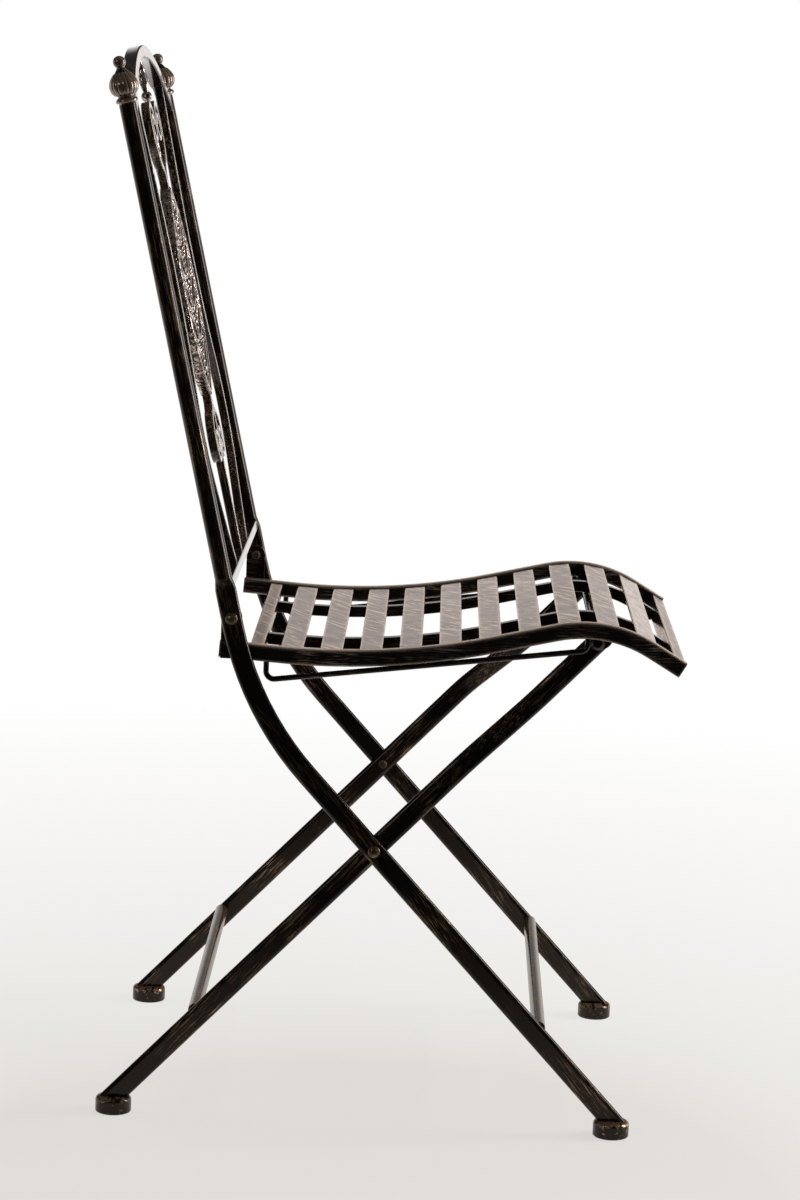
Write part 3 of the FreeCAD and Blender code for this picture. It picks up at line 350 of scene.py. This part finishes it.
# %% [markdown]
# ## Which way each piece was wiped
# A straight bar is wiped along its length. A side tube is one tube with a bend at the seat:
# above it the tube leans with the back, below it runs to the foot. A curve through the tube could guide
# the strokes, but it is simpler to lay both directions and go from one to the other by height.

# %% Directions of the iron
LEAN = math.radians(13.2)
UP_THE_BACK = (-math.sin(LEAN), 0.0, math.cos(LEAN))
DOWN_THE_FRONT_LEG = (0.616, 0.0, -0.788)
DOWN_THE_REAR_LEG = (-0.667, 0.0, -0.745)
FRONT_TO_BACK = (1.0, 0.0, 0.0)
SIDE_TO_SIDE = (0.0, 1.0, 0.0)
BEND_OF_THE_TUBE = (0.38, 0.45)


def height_of(tree):
    return add(tree, "SeparateXYZ", {"Vector": add(tree, "TexCoord").outputs["Object"]}).outputs["Z"]


def wipe_along(direction, **sizes):
    return lambda tree: strokes(tree, along(direction), **sizes)


def wipe_side_tube(tree):
    above = stretch(tree, height_of(tree), *BEND_OF_THE_TUBE)
    leg = strokes(tree, along(DOWN_THE_FRONT_LEG))
    post = strokes(tree, along(UP_THE_BACK))
    return add(tree, "Mix", {0: above, 2: leg, 3: post}).outputs[0]


# %% [markdown]
# ## Frame, legs and rails
# The tubes and wires are nearly black. The side rails of the seat are rubbed and made paler along their tops,
# partly as wear and partly as a painted highlight, the stretchers are rubbed all over, and the bars of the back
# in strokes and on their edges.
# A imported piece keeps its mesh. Its paint could go in the mesh's material slot,
# but on the object's own slot the mesh isn't touched.

# %% Paint the frame
PALE_BRONZE_WITH_HIGHLIGHT = (1.0, 0.80, 0.65, 1.0)


def paint_nodes(paint, *names):
    for name in names:
        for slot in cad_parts[name].material_slots:
            slot.link = "OBJECT"
            slot.material = paint
    print(paint.name, "on", len(names), "pieces")


def pair(name):
    return name + "_right", name + "_left"


tube_black = rubbed_black("rubbed_black_tubes", wipe_side_tube)
wire_black = rubbed_black("rubbed_black_wires", wipe_along(FRONT_TO_BACK), rub=0.4, worn=0.4)
leg_black = rubbed_black("rubbed_black_rear_legs", wipe_along(DOWN_THE_REAR_LEG), rub=0.8)
# The rails' pale tops are partly wear and partly a painted highlight.
rail_black = rubbed_black("rubbed_black_rails", wipe_along(FRONT_TO_BACK), haze=0.012, worn=0.7, edge=0.0030,
                          chips=(0.25, 0.45), top=1.0, wiped=PALE_BRONZE_WITH_HIGHLIGHT, rough=(0.16, 0.34))
cross_black = rubbed_black("rubbed_black_cross_bars", wipe_along(SIDE_TO_SIDE), haze=0.12, rub=1.0,
                           press=(0.40, 0.56))
crest_black = rubbed_black("rubbed_black_crest", wipe_along(SIDE_TO_SIDE), haze=0.03,
                           lacquer=0.7, gloss=0.06)
bar_black = rubbed_black("rubbed_black_back_bars", wipe_along(UP_THE_BACK), rub=1.0, press=(0.38, 0.54),
                         edge=0.0018, chips=(0.30, 0.50), metal=(0.0, 0.5), **LACQUERED)
paint_nodes(tube_black, *pair("side_tube"))
paint_nodes(leg_black, *pair("rear_leg"))
paint_nodes(rail_black, *pair("seat_rail"))
paint_nodes(cross_black, "front_stretcher", "rear_stretcher")
paint_nodes(wire_black, *pair("seat_bearer"), *pair("guide_wire"), *pair("ear_bracket"), "guide_rod")
paint_nodes(crest_black, "back_crossbar", "crest_arch")
paint_nodes(bar_black, *pair("lyre_bar"), "centre_bar", *pair("upper_scroll"), *pair("lower_scroll"))

# %% [markdown]
# ## Slats
# The seat was wiped at a slant over the slats and more heavily than the frame, so its ground is a brown metal
# with pale strokes, and the edges are rubbed to a thin pale line.
# The camera looks so flatly over the seat that a fine stroke would melt away, so these strokes are wider.
# They could be only paler than the ground, but they are smoother too, to mirror more of the bright wall.
# Clouds in the roughness make one slat differ from the next. The two end rails have a calmer wipe and a darker,
# rougher glancing tint: a painted shade that keeps them less bright than the slats.

# %% Paint the seat
SLATS = 10
OVER_THE_SLATS = (0.5, -0.87, 0.0)
UMBER = (0.090, 0.048, 0.028, 1.0)
SLAT_GLANCE = (1.0, 0.945, 0.92, 1.0)
SHADED_END_GLANCE = (0.74, 0.67, 0.63, 1.0)
SEAT_WIPE = {"ground": UMBER, "wiped": (0.60, 0.50, 0.42, 1.0), "metal": (0.85, 1.0), "haze": 0.03,
             "press": (0.30, 0.50), "edge": 0.0045, "chips": (0.30, 0.50)}

over_slats = wipe_along(OVER_THE_SLATS, length=0.045, width=0.004)
slat_black = rubbed_black("rubbed_black_slats", over_slats, **SEAT_WIPE, rub=0.9, flank=0.7,
                          glance=SLAT_GLANCE, rough=(0.155, 0.06), cloud=0.04)
# The end rails are a shaded copy of the slat paint: their darker glancing tint is painted shade.
shaded_end_black = rubbed_black("rubbed_black_seat_ends_shaded", over_slats, **SEAT_WIPE, rub=0.65,
                         glance=SHADED_END_GLANCE, rough=(0.19, 0.14))
paint_nodes(slat_black, *("seat_slat_%02d" % (slat + 1) for slat in range(SLATS)))
paint_nodes(shaded_end_black, "seat_front_rail", "seat_rear_rail")

# %% [markdown]
# ## Castings and rivets
# Cast pieces hold the bronze on every high spot. A long wipe could not follow their relief,
# so their strokes are short, and a little is added to the noise, which makes more of it bronze.
# The edge band is wide enough to reach the tops of beads and ribs.

# %% Paint castings and rivets
BURNISHED = (0.95, 0.76, 0.66, 1.0)
WARM_BRONZE = (0.90, 0.62, 0.42, 1.0)
MORE_BRONZE = 0.05


def wipe_casting(tree):
    stroke = strokes(tree, along(UP_THE_BACK), length=0.004, width=0.0025)
    return add(tree, "Math", {0: stroke, 1: MORE_BRONZE}).outputs[0]


cast_black = rubbed_black("rubbed_black_castings", wipe_casting, rub=1.0, press=(0.25, 0.40), edge=0.0016,
                          worn=1.0, wiped=BURNISHED, rough=(0.16, 0.20), lacquer=0.5, gloss=0.06)
finial_black = rubbed_black("rubbed_black_finials", wipe_along(UP_THE_BACK, length=0.006, width=0.002),
                            haze=0.01, rub=0.5, ridge=1.0, wiped=WARM_BRONZE, rough=(0.10, 0.25), **LACQUERED)
rivet_black = rubbed_black("rubbed_black_rivets", wipe_along(FRONT_TO_BACK, length=0.006, width=0.003),
                           haze=0.15, rub=1.0)
paint_nodes(cast_black, "back_panel", "spear_ornament")
paint_nodes(rivet_black, "seat_rivets", "leg_rivets", "leg_washers")

# %% [markdown]
# ## Feet
# The round feet are scuffed on top and blacker below.
# Worn edges alone would mark the upper and the lower rim alike, so the strokes also follow the height:
# a little is added to the noise above the rim and taken off below it.

# %% Paint the feet
FOOT_RIM = (0.0100, 0.0125)
LESS_BELOW, MORE_ABOVE = -0.07, 0.10


def wipe_foot(tree):
    rim = stretch(tree, height_of(tree), *FOOT_RIM, LESS_BELOW, MORE_ABOVE)
    stroke = strokes(tree, along(SIDE_TO_SIDE), length=0.012, width=0.003)
    return add(tree, "Math", {0: stroke, 1: rim}).outputs[0]


foot_black = rubbed_black("rubbed_black_feet", wipe_foot, rub=0.9, press=(0.30, 0.50))
paint_nodes(foot_black, *pair("front_foot"), *pair("rear_foot"))

# %% [markdown]
# ## Finials
# Each post ends in a small cast finial: a flared collar, a ribbed onion and a ball.
# A turned shape is a profile spun about its axis. The ribs could be a wave in the radius,
# but Inset is closer to the casting: it lifts one column of faces at a time into a lobe
# and leaves a groove around it, and a Subdivision Surface rounds both.

# %% Turned and ribbed shape
MM = 0.001
PROFILE = ((0.0, 0.0), (7.6, 0.0), (9.8, 1.2), (10.0, 2.8), (9.2, 4.3), (7.4, 5.2), (6.9, 6.1), (7.4, 7.2),
           (10.0, 9.0), (11.8, 12.0), (12.3, 15.4), (11.5, 19.0), (9.2, 22.6), (6.4, 26.0), (4.6, 28.4),
           (3.6, 30.0), (3.4, 30.8), (4.4, 31.8), (5.4, 33.6), (5.6, 35.6), (5.2, 37.8), (3.6, 39.8),
           (0.0, 40.9))
RIBS, RIB_LOW, RIB_HIGH = 16, 8.0, 26.5
RIB_MARGIN, RIB_LIFT = 0.65, 0.8


def turned(profile, steps):
    """A turned solid: the profile, radius and height in millimetres, spun about Z and closed."""
    bm = bmesh.new()
    rim = [bm.verts.new((radius * MM, 0.0, height * MM)) for radius, height in profile]
    run = [bm.edges.new(ends) for ends in zip(rim, rim[1:])]
    bmesh.ops.spin(bm, geom=rim + run, axis=(0, 0, 1), cent=(0, 0, 0), angle=math.tau, steps=steps,
                   use_merge=True)
    bmesh.ops.remove_doubles(bm, verts=bm.verts, dist=1e-6)
    bmesh.ops.recalc_face_normals(bm, faces=bm.faces)
    return bm


def raise_ribs(bm):
    """Lifts one lobe from each column of faces of the onion."""
    columns = {}
    for face in bm.faces:
        middle = face.calc_center_median()
        if RIB_LOW * MM < middle.z < RIB_HIGH * MM:
            turn = math.atan2(middle.y, middle.x) % math.tau
            columns.setdefault(int(turn / math.tau * RIBS), []).append(face)
    for faces in columns.values():
        bmesh.ops.inset_region(bm, faces=faces, thickness=RIB_MARGIN * MM, depth=RIB_LIFT * MM)
    return len(columns)


# %% [markdown]
# A finial stands on each post and leans with the back.

# %% Finials on the posts
POST_X, POST_Y, POST_Z = -0.2424, 0.193, 0.8901


def finial(name, node, post_top):
    bm = turned(PROFILE, RIBS * 2)
    ribs = raise_ribs(bm)
    stand = Matrix.Translation(post_top) @ Matrix.Rotation(-LEAN, 4, "Y")
    bmesh.ops.transform(bm, matrix=stand, verts=bm.verts)
    piece = mesh_piece(bm, name)
    piece.data.materials.append(finial_black)
    piece.data.shade_smooth()
    smooth = piece.modifiers.new("rounded", "SUBSURF")
    smooth.levels = smooth.render_levels = 2
    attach(piece, "frame")
    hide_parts(node)
    print(name, "has", ribs, "ribs")


for side, y in (("right", -POST_Y), ("left", POST_Y)):
    finial("ribbed_finial_" + side, "finial_" + side, (POST_X, y, POST_Z))

# %% [markdown]
# ## Relief on the cast panel
# The pointed panel in the back is an iron casting: a rope of metal round the rim and round each leaf opening,
# and pearls along the stem and the ribs. It could be sculpted, but a rope is a circle spun along an arc
# and a pearl is a small ball. They are modelled flat, in the panel's own plane, and laid on the back at the end.

# %% The panel's plane, ropes and pearls
HINGE = (-0.1394, 0.0, 0.451)
OUT_OF_THE_BACK = (math.cos(LEAN), 0.0, math.sin(LEAN))
PANEL_LOW, PANEL_HIGH, PANEL_HALF, PANEL_FACE = 0.177, 0.371, 0.065, 0.003
ROPE_SIDES = 8
PEARL_FLATNESS = 0.9

back_plane = Matrix((SIDE_TO_SIDE, UP_THE_BACK, OUT_OF_THE_BACK)).transposed().to_4x4()
back_plane.translation = HINGE


def arc_of(start, end, bulge):
    """Centre, radius, first angle and sweep of an arc that bulges to the right on its way from start to end."""
    chord = Vector(end) - Vector(start)
    radius = (chord.length ** 2 / 4 + bulge ** 2) / (2 * bulge)
    outward = Vector((chord.y, -chord.x)).normalized()
    centre = (Vector(start) + Vector(end)) / 2 - outward * (radius - bulge)
    half_sweep = math.asin(chord.length / 2 / radius)
    return centre, radius, math.atan2(outward.y, outward.x) - half_sweep, 2 * half_sweep


def rope(bm, centre, radius, start, sweep, thickness, steps):
    """A round rope of metal along an arc, half sunk in the panel's face."""
    ring = bmesh.ops.create_circle(bm, segments=ROPE_SIDES, radius=thickness)["verts"]
    run = list(dict.fromkeys(edge for vert in ring for edge in vert.link_edges))
    pivot = (centre.x, centre.y, PANEL_FACE)
    out = Matrix.Translation(pivot) @ Matrix.Rotation(start, 4, "Z")
    across = Matrix.Translation((radius, 0.0, 0.0)) @ Matrix.Rotation(math.pi / 2, 4, "X")
    bmesh.ops.transform(bm, matrix=out @ across, verts=ring)
    bmesh.ops.spin(bm, geom=ring + run, cent=pivot, axis=(0, 0, 1), angle=sweep, steps=steps)


def pearl(bm, across, up, size):
    grain = Matrix.Translation((across, up, PANEL_FACE)) @ Matrix.Diagonal((1.0, 1.0, PEARL_FLATNESS, 1.0))
    bmesh.ops.create_uvsphere(bm, u_segments=8, v_segments=6, radius=size, matrix=grain)


# %% [markdown]
# The whole relief could be drawn, but it is the same on both sides of the stem and on both faces,
# so a quarter is enough: a thick and a thin rope along the rim, and for each leaf two ropes round its opening
# and a row of shrinking pearls above it.

# %% Rim and leaves
RIM_ROPE, RIM_ROPE_IN, RIM_STEPS = 0.0024, 0.0028, 40
INNER_ROPE, INNER_ROPE_IN, INNER_ROPE_SHORT = 0.0013, 0.0072, 0.04
LEAF_PAIRS, FIRST_LEAF, LEAVES_SPARE = 5, 0.8, 0.7
LEAF_RISE, LEAF_WIDTH, LEAF_SLIM, STEM, RIM = 0.024, 0.017, 0.36, 0.010, 0.009
LEAF_ROPE, LEAF_ROPE_OUT, LEAF_STEPS = 0.0013, 0.0009, 12
LEAF_PEARLS, LEAF_PEARL, PEARL_SHRINKS = 6, 0.0026, 0.0002
FIRST_PEARL, PEARL_PLACES, ROW_REACH, ROW_RISE = 0.6, 6.2, 0.94, 0.8

rim_arc = arc_of((0.0, PANEL_LOW), (0.0, PANEL_HIGH), PANEL_HALF)
leaf_step = (PANEL_HIGH - PANEL_LOW - LEAF_RISE) / (LEAF_PAIRS + LEAVES_SPARE)


def reach(up):
    """Half the panel's width at a height."""
    centre, radius, _, _ = rim_arc
    return centre.x + math.sqrt(radius ** 2 - (up - centre.y) ** 2)


relief = bmesh.new()
centre, radius, first, sweep = rim_arc
rope(relief, centre, radius - RIM_ROPE_IN, first, sweep, RIM_ROPE, RIM_STEPS)
rope(relief, centre, radius - INNER_ROPE_IN, first + INNER_ROPE_SHORT, sweep - 2 * INNER_ROPE_SHORT,
     INNER_ROPE, RIM_STEPS)
for leaf in range(LEAF_PAIRS):
    low = PANEL_LOW + leaf_step * (leaf + FIRST_LEAF)
    root, tip = (STEM / 2, low), (reach(low + LEAF_RISE) - RIM, low + LEAF_RISE)
    bulge = min(LEAF_WIDTH, LEAF_SLIM * math.dist(root, tip)) / 2
    for ends in ((root, tip), (tip, root)):
        centre, radius, first, sweep = arc_of(*ends, bulge)
        rope(relief, centre, radius + LEAF_ROPE_OUT, first, sweep, LEAF_ROPE, LEAF_STEPS)
    for bead in range(LEAF_PEARLS):
        share = (bead + FIRST_PEARL) / PEARL_PLACES
        across = root[0] + share * (tip[0] - root[0]) * ROW_REACH
        up = low + leaf_step / 2 + share * LEAF_RISE * ROW_RISE
        pearl(relief, across, up, LEAF_PEARL - PEARL_SHRINKS * bead)
print("faces of one quarter:", len(relief.faces))

# %% [markdown]
# The open ends of the ropes are closed first, then Mirror makes the other half.
# A Mirror modifier would double the pearls of the stem, which lie on the middle line. With the bmesh operator
# they can be added after the first mirror, and the second one makes the rear face.

# %% Stem, other half and rear face
STEM_PEARLS, STEM_PEARL, STEM_PEARL_STEP, STEM_STARTS = 28, 0.0027, 0.00615, 0.014


def mirror_all(bm, axis):
    everything = bm.verts[:] + bm.edges[:] + bm.faces[:]
    bmesh.ops.mirror(bm, geom=everything, axis=axis, merge_dist=-1.0)


rope_ends = [edge for edge in relief.edges if edge.is_boundary]
bmesh.ops.holes_fill(relief, edges=rope_ends, sides=ROPE_SIDES)
mirror_all(relief, "X")
for bead in range(STEM_PEARLS):
    pearl(relief, 0.0, PANEL_LOW + STEM_STARTS + bead * STEM_PEARL_STEP, STEM_PEARL)
mirror_all(relief, "Z")
bmesh.ops.recalc_face_normals(relief, faces=relief.faces)
bmesh.ops.transform(relief, matrix=back_plane, verts=relief.verts)
panel_relief = mesh_piece(relief, "panel_relief")
panel_relief.data.materials.append(cast_black)
panel_relief.data.shade_smooth()
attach(panel_relief, "frame")
print("relief faces:", len(panel_relief.data.polygons))
